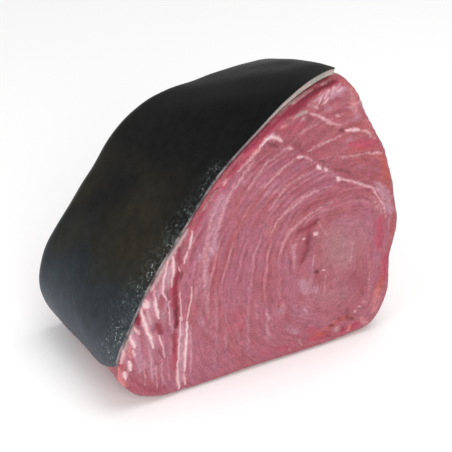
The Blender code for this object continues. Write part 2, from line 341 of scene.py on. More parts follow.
places = read(flesh.data.vertices, "co") / MM
normals = read(flesh.data.vertices, "normal")
between_cuts = rear_y - front_y - 2 * CUT_ROUNDING
through = np.clip((places[:, 1] - front_y - CUT_ROUNDING) / between_cuts, 0.0, 1.0)
cut_x = places[:, 0] * (1 + REAR_STRETCH_X * through) + REAR_MOVE_X * through
cut_z = places[:, 2] * (1 + REAR_STRETCH_Z * through)
on_cut = smooth_step(0.35, 0.8, np.abs(normals[:, 1]))
drawn_x = cut_x - DRAWN_LEAN * cut_z
drawn_z = cut_z * DRAWN_STRETCH
ring_x = cut_x + DRAWN_SHIFT
seam_gap, seam_side, _ = line_gap(SEAM, ring_x, cut_z)
seam_side = np.where(cut_x < SEAM[0][0], -1.0, seam_side)
rings = ring_count(ring_x, cut_z)
fan = (cut_z + FAN_DROOP * (ring_x - FAN_PEAK_X) ** 2) / FAN_FLAKE
print("rings from", round(rings.min(), 1), "to", round(rings.max(), 1))

# %% [markdown]
# Fat and connective tissue show as short pale streaks, thick at the lower left and fine elsewhere.
# A pattern of nodes can't know where they lie, so they are listed one by one: each
# streak is a half width in mm, a strength, and a few points on the front cut. The first list holds
# the thick white fat of the lobe, which runs down from the skin like icicles.

# %% Thick fat of the lobe
FAT = (
    (
        0.60, 0.85, (-33.2, 40), (-33.6, 34), (-34.1, 27), (-34.4, 20), (-34.8, 14), (-35.2, 9),
        (-34.8, 3),
    ),
    (0.90, 1.00, (-30.6, 37), (-30.8, 30), (-31.0, 24), (-31.6, 18), (-32.0, 11)),
    (0.80, 0.72, (-31.9, 10), (-31.9, 4)),
    (1.00, 0.92, (-35.0, 13), (-35.2, 8), (-34.8, 3)),
    (0.50, 0.75, (-28.3, 54), (-28.6, 48), (-29.6, 43), (-30.6, 38)),
    (0.45, 0.65, (-33.2, 52), (-33.0, 44), (-32.7, 38)),
    (2.10, 1.00, (-49.4, 52.4), (-47.8, 50.2)),
    (1.20, 0.80, (-49.0, 54.4), (-46.8, 51.0)),
    (1.10, 1.00, (-50.6, 50), (-50.2, 46), (-49.4, 42.5), (-48.0, 38), (-46.8, 34), (-46.2, 29.5)),
    (0.80, 0.45, (-48.6, 50), (-47.2, 46), (-46.8, 42)),
    (0.85, 1.00, (-44.6, 54.5), (-44.2, 49), (-43.4, 43.5)),
    (0.70, 0.50, (-44.8, 60), (-44.6, 54)),
    (0.70, 0.92, (-38.6, 69), (-39.8, 63), (-40.9, 58.6), (-40.6, 54.5), (-39.2, 51)),
    (0.85, 1.00, (-36.0, 71), (-36.0, 66), (-36.4, 61)),
    (0.60, 0.75, (-36.6, 60.5), (-37.2, 56.5)),
    (0.60, 0.95, (-27.9, 80), (-28.4, 76), (-29.3, 72.6)),
    (0.65, 0.85, (-30.0, 71.5), (-31.2, 66.0)),
    (0.60, 0.70, (-33.6, 64.6), (-32.8, 62.4)),
    (0.50, 0.60, (-38.4, 50), (-38.3, 44), (-38.4, 38)),
    (1.30, 0.80, (-56.0, 42), (-58.0, 38)),
    (1.25, 1.00, (-55.6, 38.6), (-54.8, 35), (-54.4, 32.6)),
    (0.85, 0.85, (-55.2, 32), (-54.2, 28)),
    (0.80, 0.80, (-53.8, 42), (-52.0, 38.6)),
    (0.65, 0.85, (-43.6, 35), (-43.0, 31.5), (-42.2, 29)),
    (0.50, 0.60, (-42.0, 29), (-41.2, 23)),
    (1.15, 1.00, (-57.2, 27), (-56.2, 21.6)),
    (1.20, 0.80, (-59.0, 33), (-60.4, 26.6)),
    (1.00, 1.00, (-59.3, 22), (-58.9, 18)),
    (0.60, 0.60, (-62.0, 24.6), (-62.6, 21)),
    (1.30, 0.65, (-64.6, 25.4), (-61.4, 26.8)),
    (0.50, 0.40, (-47.4, 27), (-47.2, 12)),
    (0.50, 0.35, (-50.4, 25), (-50.2, 12)),
    (0.45, 0.40, (-45.2, 20), (-45.0, 8)),
    (0.45, 0.35, (-42.6, 22), (-42.4, 9)),
    (0.45, 0.35, (-39.8, 22), (-39.4, 10)),
    (1.60, 0.36, (-20.8, 73), (-22.3, 68), (-22.4, 60), (-23.0, 52)),
    (1.00, 0.30, (-29.0, 34), (-28.8, 24), (-29.0, 10)),
)
print("streaks of the lobe:", len(FAT))

# %% [markdown]
# The seam between the lower and the upper flakes is a sheet of tissue. It shows as a chain of white
# marks that starts in a crest below the skin and runs down to the right edge. The broad faint mark
# beside its lower end is a painted sheen.

# %% White marks along the seam
SEAM_FAT = (
    (1.20, 1.00, (1.6, 110.2), (4.2, 112.6), (7.0, 113.6), (8.8, 112.2), (11.4, 110.0)),
    (2.20, 0.34, (1.0, 109.6), (5.0, 112.4), (7.8, 112.8)),
    (1.20, 0.60, (2.0, 110), (-2.0, 106.4), (-5.0, 104), (-8.6, 101.8)),
    (1.20, 0.75, (-12.8, 99.6), (-14.4, 97.2)),
    (1.80, 0.20, (11.6, 108.0), (14.8, 106), (17.6, 103.6)),
    (0.75, 0.80, (14.2, 106.8), (16.4, 105.6)),
    (0.95, 1.00, (18.4, 101.4), (21.0, 100.6)),
    (0.70, 0.60, (21.4, 100.8), (24.4, 98.6), (26.6, 96.8)),
    (1.00, 1.00, (27.6, 95.4), (28.4, 93.8), (29.6, 93.0)),
    (0.90, 0.80, (31.2, 92.6), (33.0, 91.2)),
    (1.80, 0.34, (30.0, 92.5), (34.0, 90.0), (37.4, 87.0)),
    (1.15, 1.00, (37.4, 86.6), (39.2, 85.0)),
    (0.80, 0.80, (38.8, 85.4), (44.8, 82.9), (48.2, 81), (52.0, 78.6), (54.8, 77.2), (57.8, 73.6)),
    (0.60, 0.70, (54.4, 77.6), (56.8, 74), (59.9, 69.3), (62.5, 64.5), (63.4, 60)),
    # A painted sheen, not fat.
    (2.20, 0.36, (54.6, 72.6), (58.0, 68), (61.0, 62.5)),
)
print("marks along the seam:", len(SEAM_FAT))

# %% [markdown]
# The tissue between the rings is thinner and breaks off often. These lines follow the rings only
# roughly, because on the real cut some of them part, meet or stray. Among them are the small white
# dots and dashes by the eye, at the peak and near the rim.

# %% Fine lines of the rings
RING_FAT = (
    (1.20, 0.52, (30.0, 83.2), (22.5, 82.0), (18.3, 79.3), (12.4, 76.2), (9.8, 73.4), (7.4, 69)),
    (0.70, 0.72, (16.4, 78.2), (19.4, 80)),
    (0.60, 0.34, (7.4, 69), (4.2, 63)),
    (1.20, 0.50, (31.5, 75.2), (25.2, 72.7), (21.0, 70.8), (16.1, 67), (13.4, 63.2), (11.2, 57)),
    (1.00, 0.40, (27.0, 92.8), (20.0, 91.6), (14.4, 89.6), (10.3, 85.5), (6.4, 80)),
    (0.85, 0.50, (18.5, 101), (13.0, 98.4), (8.1, 95), (3.0, 90.5)),
    (0.95, 0.46, (11.6, 104.8), (5.5, 103), (2.3, 99.4), (-0.9, 95.6), (-3.8, 91.8)),
    (1.10, 0.55, (-0.4, 105.0), (-5.2, 99.8), (-9.0, 94.6)),
    (1.10, 0.52, (-9.0, 97.0), (-12.6, 90), (-15.6, 82), (-18.0, 73)),
    (1.00, 0.42, (-17.6, 87), (-20.6, 79), (-22.6, 70)),
    (0.70, 0.70, (-19.8, 70.4), (-19.4, 68.2)),
    (0.90, 0.34, (-10.0, 70), (-12.1, 62.6), (-13.8, 57)),
    (1.20, 0.40, (19.8, 62.6), (16.3, 56.4)),
    (0.80, 0.40, (6.6, 31), (7.0, 20), (9.0, 13)),
    (0.90, 0.34, (0.4, 38), (0.8, 30)),
    (0.50, 0.50, (34.2, 40), (34.4, 29)),
    (0.60, 0.40, (56.6, 39), (57.2, 30), (57.8, 19)),
    (0.80, 0.30, (47.6, 54), (46.9, 47), (47.2, 39)),
    (0.50, 0.70, (27.9, 51.5), (27.5, 47)),
    (1.30, 1.00, (27.4, 63.1), (29.1, 61.8)),
    (0.70, 0.90, (22.0, 62.2), (23.2, 61.2)),
    (0.70, 0.95, (32.4, 42.6), (34.4, 42.0)),
    (0.45, 0.55, (29.4, 67.6), (33.9, 60)),
    (1.10, 0.50, (23.4, 102.6), (28.6, 104.0), (34.4, 105.4), (38.6, 106.0)),
    (1.00, 0.95, (40.2, 107.9), (43.6, 107.2), (47.0, 106.6)),
    (0.80, 0.75, (47.4, 106.4), (50.2, 105.0), (52.4, 102.6)),
    (2.20, 0.34, (51.0, 104.6), (54.6, 100.4)),
    (0.85, 0.52, (38.0, 96.0), (43.0, 95.2), (49.8, 94.6)),
    (1.10, 0.62, (50.6, 94.6), (54.6, 94.0), (58.6, 92.8)),
    (1.10, 0.36, (17.6, 111), (24.0, 113.2), (29.2, 114.8)),
    (1.00, 0.66, (22.6, 119.8), (27.4, 117.6), (30.0, 115.2), (33.4, 112.8), (38.0, 110.4)),
    (0.80, 0.85, (28.4, 117.0), (30.4, 114.8)),
    (0.75, 0.72, (35.2, 115.8), (37.2, 115.0)),
    (0.80, 0.60, (42.8, 119.4), (46.8, 118.8)),
    (1.10, 0.75, (28.4, 122.0), (31.8, 124.2)),
    (0.80, 0.55, (25.4, 122.4), (26.6, 120.8)),
    (1.20, 0.55, (33.0, 128.6), (37.4, 126.2)),
    (2.20, 0.24, (29.0, 125.0), (33.0, 126.4), (37.0, 127.4)),
    (0.80, 0.80, (26.6, 122.6), (28.8, 126.4)),
    (0.80, 0.85, (29.8, 124.6), (31.6, 128.0)),
    (0.80, 0.75, (32.6, 125.2), (34.0, 128.6)),
    (0.80, 0.85, (35.2, 125.8), (37.6, 127.6)),
    (0.50, 0.45, (27.0, 126.2), (28.4, 127.6)),
    (0.80, 0.60, (54.7, 18.2), (57.2, 17.6)),
    (0.75, 0.70, (52.2, 16.9), (53.8, 15.6)),
    (0.80, 0.80, (50.8, 15.0), (51.6, 13.4)),
    (0.60, 0.60, (22.8, 8.4), (24.4, 4.6)),
    (0.60, 0.45, (18.0, 6.4), (18.8, 3.6)),
    (1.00, 0.45, (54.4, 8.0), (56.6, 4.8)),
)
print("lines of the rings:", len(RING_FAT))

# %% [markdown]
# Next to the skin the fat is beige, in a broken band that is widest at the top, and a few patches of
# the same colour lie in the lobe.

# %% Beige fat by the skin
BEIGE_FAT = (
    (0.90, 0.75, (8.0, 121.4), (12.0, 124.2)),
    (1.20, 1.00, (11.0, 123.4), (16.0, 126.6), (20.0, 128.6), (24.0, 130.4), (28.0, 131.8)),
    (1.50, 1.00, (26.0, 131.4), (30.0, 132.4), (33.8, 132.8)),
    (1.10, 0.75, (16.6, 118.9), (19.4, 120.2), (22.4, 120.9)),
    (0.90, 0.60, (23.0, 123.4), (25.2, 121.8), (27.0, 120.8)),
    (1.00, 0.50, (20.2, 118.6), (21.6, 117.2)),
    (2.00, 0.36, (41.0, 126.0), (42.4, 121.0), (43.0, 115.0)),
    (0.90, 0.60, (42.0, 117.8), (43.4, 116.6)),
    (1.30, 0.70, (41.8, 8.6), (42.6, 5.8)),
    (1.40, 0.85, (-60.6, 28.6), (-57.4, 36.4), (-54.0, 42.6)),
    (1.40, 0.85, (-46.0, 57.0), (-40.8, 66.2), (-35.4, 74.0), (-29.6, 81.4)),
    (1.00, 0.55, (-24.0, 87.6), (-17.0, 96.0)),
    (0.70, 0.60, (-57.8, 24.0), (-57.6, 20.6)),
    (0.80, 0.50, (-33.2, 31), (-33.6, 12)),
    (1.30, 0.52, (-48.2, 47.6), (-46.4, 41.4)),
    (1.20, 0.55, (-38.4, 67.0), (-38.2, 58.6)),
    (0.90, 0.45, (-41.4, 46.0), (-41.2, 41.0)),
)
print("patches of beige fat:", len(BEIGE_FAT))

# %% [markdown]
# Now the streaks are drawn on the mesh. Each one swells in its middle and thins out at its ends, and
# a small ripple makes its edge uneven. The result is one number on each corner, which the material
# reads. No streak is finer than the mesh can hold, so at the back they are all a little broader.

# %% Drawing the streaks
FINEST_FRONT = 0.40
FINEST_REAR = 0.95
EDGE_WANDER = 0.22
WANDER_SIZE = 4.0


def draw(streaks, swell_ends=0.4):
    """How strongly the streaks cover each corner of the flesh, from 0 to 1."""
    x = drawn_x + EDGE_WANDER * ripple(places, WANDER_SIZE, 11)
    z = drawn_z + EDGE_WANDER * ripple(places, WANDER_SIZE, 12)
    finest = FINEST_FRONT + (FINEST_REAR - FINEST_FRONT) * through
    covered = np.zeros(x.shape)
    for width, strength, *points in streaks:
        gap, _, share = line_gap(points, x, z)
        wide = width * (swell_ends + (1 - swell_ends) * np.sin(math.pi * share) ** 0.6)
        covered = np.maximum(covered, strength * np.exp(-((gap / np.maximum(wide, finest)) ** 2)))
    return covered * smooth_step(0.1, 0.45, np.abs(normals[:, 1]))


fat = draw(FAT)
fine_fat = np.maximum(draw(SEAM_FAT), draw(RING_FAT))
beige = draw(BEIGE_FAT)
print("streaks:", sum(len(group) for group in (FAT, SEAM_FAT, RING_FAT, BEIGE_FAT)))

# %% [markdown]
# Where flakes part, the flesh sinks, and its colour there is darkened nearly to black as painted
# shade; a dark line of the same painted shadow lies in the gap under the skin's edge. Beside the
# lobe the flesh is a deep crimson, and the crimson band below the skin is partly painted shade of
# the groove there. Both are drawn in the same way as the fat.

# %% Partings with painted shade, and crimson
PARTINGS_AND_SHADE = (
    (2.0, 0.60, (25.6, 63), (25.2, 56), (22.8, 50)),
    (1.7, 0.52, (23.0, 66.2), (26.4, 67.4), (29.4, 69.0)),
    (1.4, 0.45, (19.8, 66.6), (22.4, 65.2)),
    (1.2, 0.90, (29.4, 43.2), (31.0, 41.6)),
    (0.8, 0.45, (17.4, 53), (16.6, 48), (19.4, 42.6)),
    (0.8, 0.70, (-31.8, 62.0), (-32.8, 58.6)),
    (0.9, 0.75, (-34.9, 45.6), (-34.7, 40), (-35.1, 34.6)),
    (0.6, 0.55, (-38.8, 55.4), (-38.8, 51)),
    (0.9, 0.55, (-58.2, 25), (-57.9, 22)),
    (0.7, 0.45, (-41.4, 44), (-41.2, 41.6)),
    (0.8, 0.40, (-43.7, 28.4), (-42.7, 23.6)),
    (0.9, 0.45, (-52.9, 47), (-52.4, 43.6)),
    (1.5, 0.68, (46.6, 13.8), (47.8, 10.6)),
    (1.3, 0.70, (49.0, 11.2), (50.8, 9.8)),
    (1.5, 0.74, (38.4, 10.8), (40.6, 9.4)),
    (1.5, 0.55, (42.2, 13.8), (44.4, 11.2)),
    (1.3, 0.50, (36.6, 5.8), (38.8, 4.6)),
    (1.2, 0.45, (44.0, 8.2), (45.6, 5.8)),
    (2.4, 0.44, (46.8, 17.2), (47.0, 11.6)),
    (1.2, 0.65, (37.4, 109.0), (39.6, 107.6)),
    (0.8, 0.50, (40.8, 123.6), (42.2, 122.4)),
    (1.1, 0.40, (24.0, 116.6), (26.8, 115.2)),
    (1.6, 0.56, (5.2, 110.6), (9.6, 108.2)),
    (1.6, 0.42, (17.0, 108.0), (20.4, 104.0)),
    (0.7, 0.50, (18.6, 105.2), (21.0, 102.6)),
    (0.9, 0.72, (28.6, 96.8), (31.8, 95.2)),
    (1.5, 0.50, (35.8, 90.8), (41.7, 88.6), (44.4, 86.8)),
    # The last two are painted shadow in the gap under the skin's edge.
    (0.9, 0.40, (14.0, 122.6), (19.0, 125.0)),
    (1.1, 0.85, (18.0, 125.2), (25.0, 128.5), (31.0, 130.3), (34.6, 131.2)),
)
CRIMSON_AND_GAP_SHADE = (
    (2.0, 0.92, (-33.4, 64), (-35.4, 56), (-35.4, 50), (-34.8, 42), (-35.2, 36)),
    (1.4, 0.60, (-35.8, 34), (-36.4, 22)),
    (1.5, 0.65, (-33.4, 74), (-33.2, 66)),
    (1.6, 0.85, (-52.9, 47.6), (-51.8, 43.4)),
    (2.4, 0.72, (-44.2, 40.4), (-42.2, 35.6)),
    (1.3, 0.50, (-44.0, 27.6), (-42.6, 23.6)),
    (1.3, 0.45, (-56.0, 17.5), (-51.6, 12)),
    # These bands below the skin are partly painted shade of the groove under its edge.
    (2.1, 1.00, (10.0, 120.4), (15.0, 123.1), (20.0, 125.6), (25.0, 128.0), (30.0, 129.9), (35.0, 131)),
    (2.4, 0.95, (12.0, 120.6), (17.0, 122.9), (22.0, 125.2)),
    (1.6, 0.80, (-5.0, 109.4), (4.0, 116.2), (10.0, 119.8)),
    (1.2, 0.60, (2.6, 113.4), (6.4, 117.0)),
    (3.0, 0.60, (25.2, 65), (24.2, 58), (21.8, 50)),
    (2.6, 0.36, (21.4, 78), (23.6, 72)),
    (2.6, 0.62, (19.6, 65.8), (24.0, 66.6), (29.0, 68.8)),
    (1.6, 0.45, (29.6, 46), (30.4, 39)),
    (1.8, 0.50, (34.6, 123.6), (37.0, 122.2)),
    (1.0, 0.50, (35.6, 117.8), (38.0, 117.0)),
    (1.4, 0.60, (-8.6, 104.8), (-12.4, 100.8)),
    (1.4, 0.70, (-16.8, 96.4), (-21.6, 90.6)),
    (1.3, 0.45, (-23.4, 88), (-26.2, 83)),
    (1.0, 0.50, (46.0, 8.6), (44.6, 4.2)),
    (1.0, 0.50, (52.0, 8.6), (50.6, 5.4)),
    (0.9, 0.45, (17.0, 6.0), (16.0, 8.4)),
)
print("partings:", len(PARTINGS_AND_SHADE), "crimson:", len(CRIMSON_AND_GAP_SHADE))

# %% [markdown]
# No two parts of a cut have quite the same colour. Here and there, mostly by the rim, it is a fresh
# red, a warm brown red or a light salmon. These tints are drawn wider and softer than the fat.

# %% Red, warm and salmon tints
BLUSH = (
    (1.6, 0.80, (11.0, 119.4), (5.0, 115.6), (-5.2, 106.6), (-12.0, 100.0)),
    (1.4, 0.50, (-16.0, 95.0), (-24.0, 84.6), (-29.0, 77.6)),
    (1.4, 1.00, (-13.0, 99.0), (-14.4, 96.4)),
    (1.6, 0.50, (-9.0, 92.0), (-10.0, 96.0)),
    (3.0, 0.75, (43.5, 100.4), (54.5, 98.2)),
    (2.4, 0.45, (-58.0, 14), (-52.0, 9), (-43.0, 5)),
    (3.2, 0.80, (60.2, 60), (60.6, 54), (61.0, 46)),
    (2.4, 0.95, (65.2, 40), (65.4, 34), (65.0, 27)),
    (2.6, 0.35, (-17.5, 62), (-16.5, 57)),
    (2.6, 0.85, (45.6, 5.0), (50.0, 5.4), (53.4, 6.4)),
    (2.2, 0.60, (27.6, 11.4), (32.6, 10.4)),
    (2.8, 0.75, (29.0, 6.4), (38.0, 5.8)),
    (2.0, 0.60, (12.0, 7.2), (18.0, 5.6)),
    (3.0, 0.40, (4.0, 7), (20.0, 6)),
    (2.6, 0.55, (10.6, 115.0), (20.0, 115.0)),
    (3.4, 0.26, (46.0, 26), (55.0, 30)),
    (3.0, 0.50, (-8.4, 35), (-5.6, 24)),
    (2.2, 0.75, (-36.6, 56), (-36.0, 46)),
    (1.9, 0.75, (-36.0, 32), (-36.2, 22), (-36.8, 14)),
)
WARM = (
    (2.6, 0.40, (28.0, 8.4), (36.0, 7.2)),
    (1.6, 0.30, (14.0, 7.6), (18.0, 6.4)),
    (1.8, 0.35, (42.0, 112.4), (44.6, 124)),
    (2.8, 0.70, (37.0, 9.4), (44.0, 12.4), (50.0, 11.4)),
    (2.2, 0.60, (31.0, 8.6), (37.6, 6.2)),
    (1.6, 0.40, (-8.0, 88), (-8.6, 82)),
    (2.4, 0.45, (54.4, 96), (58.4, 88)),
    (2.4, 0.75, (58.6, 92), (61.4, 83), (63.2, 76)),
    (2.6, 0.85, (63.4, 29), (62.8, 19)),
    (1.6, 0.40, (62.0, 34), (61.6, 22)),
    (1.2, 0.40, (66.2, 48), (65.6, 42)),
    (3.0, 0.34, (-8.0, 82), (-9.6, 64)),
    (2.2, 0.30, (40.0, 98.6), (50.0, 97.0)),
    (2.4, 0.34, (44.0, 92.6), (55.0, 90.6)),
    (1.4, 0.60, (66.4, 58), (67.4, 50)),
)
SALMON = (
    (1.4, 0.70, (-56.4, 34), (-56.0, 28)),
    (2.6, 1.00, (-62.6, 24), (-61.4, 18), (-59.4, 14)),
    (1.3, 0.85, (11.0, 116.2), (13.2, 117.2)),
    (1.2, 0.75, (13.4, 120.0), (17.0, 119.2)),
    (2.6, 0.45, (39.0, 128.6), (43.0, 122.6), (44.6, 116.0)),
    (2.8, 0.56, (61.4, 23), (62.2, 16), (61.0, 10.4)),
    (2.2, 0.62, (54.8, 9.0), (57.8, 5.6)),
    (1.6, 0.75, (48.0, 3.8), (49.2, 7.0)),
    (1.6, 0.45, (40.8, 6.0), (43.4, 8.6)),
    (1.6, 0.40, (47.6, 111), (52.6, 106)),
    (1.4, 0.55, (-3.0, 106.0), (2.0, 110.4)),
)
print("tints:", len(BLUSH) + len(WARM) + len(SALMON))

# %% [markdown]
# Where thin tissue lies just below the surface, the cut has a lilac veil, above all over the lobe and
# in bands beside it; the band by the right rim is a painted sheen. Some places are deeper and plainer
# than the rest, and the eye is greyer.

# %% Veil, deep places and the eye
VEIL = (
    (2.8, 1.00, (-50.0, 56), (-44.0, 64), (-38.6, 71), (-32.0, 80)),
    (3.6, 0.85, (-55.0, 42), (-53.0, 32), (-52.0, 20)),
    (2.0, 0.60, (-37.6, 40), (-38.2, 24)),
    (4.2, 0.85, (-47.0, 50), (-41.0, 59), (-37.4, 67)),
    (4.6, 0.60, (-48.0, 44), (-46.0, 16)),
    (6.0, 0.46, (-24.0, 60), (-22.0, 30)),
    (6.5, 0.40, (12.0, 28), (26.0, 24)),
    (3.0, 0.60, (-57.4, 34), (-57.0, 22)),
    (1.2, 0.45, (-17.2, 44), (-17.6, 8)),
    (1.0, 0.40, (-12.6, 40), (-12.8, 10)),
    (1.2, 0.45, (-2.6, 44), (-2.0, 12)),
    (1.0, 0.40, (1.2, 38), (1.8, 20)),
    (1.2, 0.45, (6.6, 31), (7.2, 12)),
    (1.0, 0.35, (12.0, 40), (12.4, 22)),
    (1.3, 0.90, (-32.8, 36), (-33.0, 26), (-33.4, 6)),
    (1.1, 0.50, (-29.2, 34), (-29.0, 22), (-29.4, 8)),
    (2.4, 0.50, (-63.0, 26), (-60.0, 34), (-56.0, 43)),
    (2.8, 0.40, (-28.0, 76), (-24.0, 64), (-22.6, 48)),
    (4.0, 0.66, (-14.6, 92), (-18.4, 80), (-19.4, 68)),
    (7.0, 0.36, (-46.0, 50), (-44.0, 30)),
    (4.4, 0.42, (-37.0, 62), (-37.6, 30)),
    (2.2, 0.45, (-5.4, 95), (-0.6, 99)),
    (1.4, 0.75, (54.8, 9.4), (57.4, 5.0)),
    (2.6, 0.55, (17.4, 19), (21.4, 12.4)),
    # A painted sheen by the right rim.
    (3.2, 0.85, (58.0, 77), (62.0, 71.4), (65.6, 63)),
    (2.2, 0.50, (43.6, 118), (46.0, 111)),
    (4.2, 0.45, (2.6, 93), (12.6, 87)),
    (2.2, 0.42, (11.6, 106.6), (16.0, 103.4)),
    (2.4, 0.85, (25.6, 124.2), (30.0, 126.2), (36.0, 128.4)),
    (3.0, 0.80, (32.4, 125.0), (38.6, 126.4)),
    (2.2, 0.50, (30.0, 121.6), (33.0, 118.4)),
    (2.2, 0.36, (17.0, 61), (19.0, 48)),
    (4.2, 0.75, (23.0, 39), (29.0, 33)),
    (3.0, 0.26, (-8.0, 44), (-6.0, 14)),
    (1.4, 0.55, (47.8, 52), (46.6, 40)),
    (1.2, 0.35, (42.6, 58), (42.2, 44)),
    (2.4, 0.45, (46.2, 127), (48.0, 117)),
)
DEEP = (
    (6.5, 0.60, (-6.0, 104), (8.0, 106), (17.0, 104), (27.0, 103)),
    (2.6, 0.70, (3.4, 110.6), (10.0, 108.0)),
    (8.0, 0.45, (36.0, 89), (54.0, 85)),
    (5.0, 0.55, (10.0, 115), (24.0, 116)),
    (3.0, 0.70, (-9.0, 103.6), (0.0, 108.4)),
    (3.4, 0.36, (19.0, 75.6), (34.0, 79)),
    (4.0, 0.42, (18.0, 86.4), (34.0, 86)),
    (3.0, 0.34, (14.6, 95), (26.0, 95.6)),
    (4.0, 0.44, (49.0, 34), (54.0, 24)),
    (1.6, 0.60, (-55.6, 16), (-50.0, 9), (-40.0, 6)),
)
EYE = (
    (9.5, 0.85, (38.0, 56), (43.0, 46)),
    (6.0, 0.40, (30.0, 30), (44.0, 26)),
    (3.6, 0.40, (46.0, 62), (54.0, 50)),
    (1.6, 0.75, (-48.0, 48), (-46.0, 41)),
    (1.5, 0.85, (-38.4, 68), (-38.2, 58)),
    (1.1, 0.60, (-32.6, 36), (-33.2, 14)),
    (1.2, 0.50, (-41.4, 46), (-41.0, 41)),
    (1.6, 0.45, (-33.0, 72), (-34.6, 77)),
    (3.0, 0.40, (6.0, 108), (14.0, 105)),
)
print("veils:", len(VEIL), "deep places:", len(DEEP), "greyer places:", len(EYE))

# %% [markdown]
# The rim of the cut is a darker red. It is not drawn: it follows the block's outline,
# found by asking, in each direction from the middle, how far out the mesh reaches.

# %% The rim, and all the marks on the mesh
OUTLINE_MIDDLE = (5.0, 52.0)
RIM_SLICES = 160
RIM_SEARCH = 6.0
RIM_REACH = 20.0


def inside_rim(cut_y):
    """How far in, in mm, each corner lies from the outline of the cut at this depth."""
    x = places[:, 0] - OUTLINE_MIDDLE[0]
    z = places[:, 2] - OUTLINE_MIDDLE[1]
    around = np.arctan2(z, x)
    reach = np.hypot(x, z)
    slices = ((around / (2 * math.pi) + 0.5) * RIM_SLICES).astype(int) % RIM_SLICES
    near = np.abs(places[:, 1] - cut_y) < RIM_SEARCH
    widest = np.zeros(RIM_SLICES)
    np.maximum.at(widest, slices[near], reach[near])
    centres = ((np.arange(RIM_SLICES) + 0.5) / RIM_SLICES - 0.5) * 2 * math.pi
    return np.interp(around, centres, widest, period=2 * math.pi) - reach


rim = np.where(places[:, 1] < 0, inside_rim(front_y), inside_rim(rear_y))
rim = np.clip(rim, 0.0, RIM_REACH) * on_cut
parting_and_shade = draw(PARTINGS_AND_SHADE, swell_ends=0.5)
crimson = draw(CRIMSON_AND_GAP_SHADE, swell_ends=0.6)
blush = draw(BLUSH, swell_ends=0.7)
warm = draw(WARM, swell_ends=0.6)
salmon = draw(SALMON, swell_ends=0.6)
veil = draw(VEIL, swell_ends=0.7)
deep = draw(DEEP, swell_ends=0.8)
eye = draw(EYE, swell_ends=0.8)
print("rim band covers", round(float((rim < 4).mean()), 2), "of the corners")

# %% [markdown]
# Drawn lines alone would look printed on, so the same numbers also shape the mesh. The fat stands
# a little proud of the flesh, the partings are sunk, and a fine ripple roughens the cuts as a knife
# leaves them. The sides get a slower swell, because there the flesh was pressed and not sliced. At
# the end every mark is stored on the mesh, one number for each corner.

# %% Relief of the flesh
FAT_RISE = 0.30
PARTING_DEPTH = 0.5
FIBRE_RISE = 0.05
FIBRE_SIZE = 2.4
LINE_RISE = 0.07
LINE_WIDTH = 0.09
LINE_BREAKS = 18.0
SIDE_SWELL = 0.25
SIDE_WAVE = 16.0

line_gaps = (rings - np.round(rings)) / LINE_WIDTH
ring_line = np.exp(-(line_gaps ** 2)) * smooth_step(-0.2, 0.6, rings)
rise = FAT_RISE * fat + 0.5 * FAT_RISE * np.maximum(fine_fat, beige)
rise -= PARTING_DEPTH * np.maximum(parting_and_shade, 0.5 * crimson)
rise += FIBRE_RISE * ripple(places, FIBRE_SIZE, 21) * on_cut
rise += LINE_RISE * ring_line * on_cut * smooth_step(-0.5, 0.5, ripple(places, LINE_BREAKS, 22))
rise += SIDE_SWELL * ripple(places, SIDE_WAVE, 23) * (1 - on_cut) * smooth_step(0, 6, places[:, 2])
moved = places + normals * rise[:, None]
moved[:, 2] = np.maximum(moved[:, 2], 0.0)
flesh.data.vertices.foreach_set("co", (moved * MM).ravel())
flesh.data.update()
pick(flesh)
bpy.ops.object.shade_smooth()


def paint(piece, name, values):
    """Stores one number on each corner of a mesh, for a material to read."""
    layer = piece.data.attributes.new(name, "FLOAT", "POINT")
    layer.data.foreach_set("value", np.asarray(values, np.float32))


for name, values in (
    ("on_cut", on_cut), ("rings", rings), ("fan", fan), ("seam", seam_gap * seam_side), ("rim", rim),
    ("fat", fat), ("fine_fat", fine_fat), ("beige", beige), ("parting_and_shade", parting_and_shade), ("crimson", crimson),
    ("blush", blush), ("warm", warm), ("salmon", salmon), ("veil", veil), ("deep", deep),
    ("eye", eye),
):
    paint(flesh, name, values)
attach(flesh, "root")
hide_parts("flesh")
print("raised by up to", round(rise.max(), 2), "mm, sunk by", round(-rise.min(), 2), "mm")

# %% [markdown]
# A finish is easier to read as sums than as boxes and wires. The small class below wraps one socket
# of a material. Adding or multiplying two of them adds the Math node that does it, and everything
# else, such as a noise or a colour mix, comes from one method that is told the node's type, its
# settings and what goes into its sockets.

# %% A socket that can be written like a number
class Flow:
    """One socket of the material that is being made."""

    tree = None

    def __init__(self, socket):
        self.socket = socket

    @classmethod
    def node(cls, kind, settings=None, sockets=None, output=0):
        """Adds a node, sets it up, feeds its sockets with numbers or links, and gives one output."""
        made = cls.tree.nodes.new(kind)
        for name, value in (settings or {}).items():
            setattr(made, name, value)
        for name, value in (sockets or {}).items():
            if isinstance(value, Flow):
                cls.tree.links.new(value.socket, made.inputs[name])
            else:
                made.inputs[name].default_value = value
        return cls(made.outputs[output])

    def maths(self, operation, *others):
        return Flow.node("ShaderNodeMath", {"operation": operation}, dict(enumerate((self, *others))))

    def __add__(self, other):
        return self.maths("ADD", other)

    def __sub__(self, other):
        return self.maths("SUBTRACT", other)

    def __mul__(self, other):
        return self.maths("MULTIPLY", other)

    def __truediv__(self, other):
        return self.maths("DIVIDE", other)

    def __abs__(self):
        return self.maths("ABSOLUTE")

    def __gt__(self, other):
        return self.maths("GREATER_THAN", other)

    def __rsub__(self, other):
        return self * -1 + other

    __radd__ = __add__
    __rmul__ = __mul__

    def step(self, low, high):
        """0 below low, 1 above high, and smooth between them."""
        return Flow.node(
            "ShaderNodeMapRange",
            {"interpolation_type": "SMOOTHSTEP"},
            {"Value": self, "From Min": low, "From Max": high},
        )


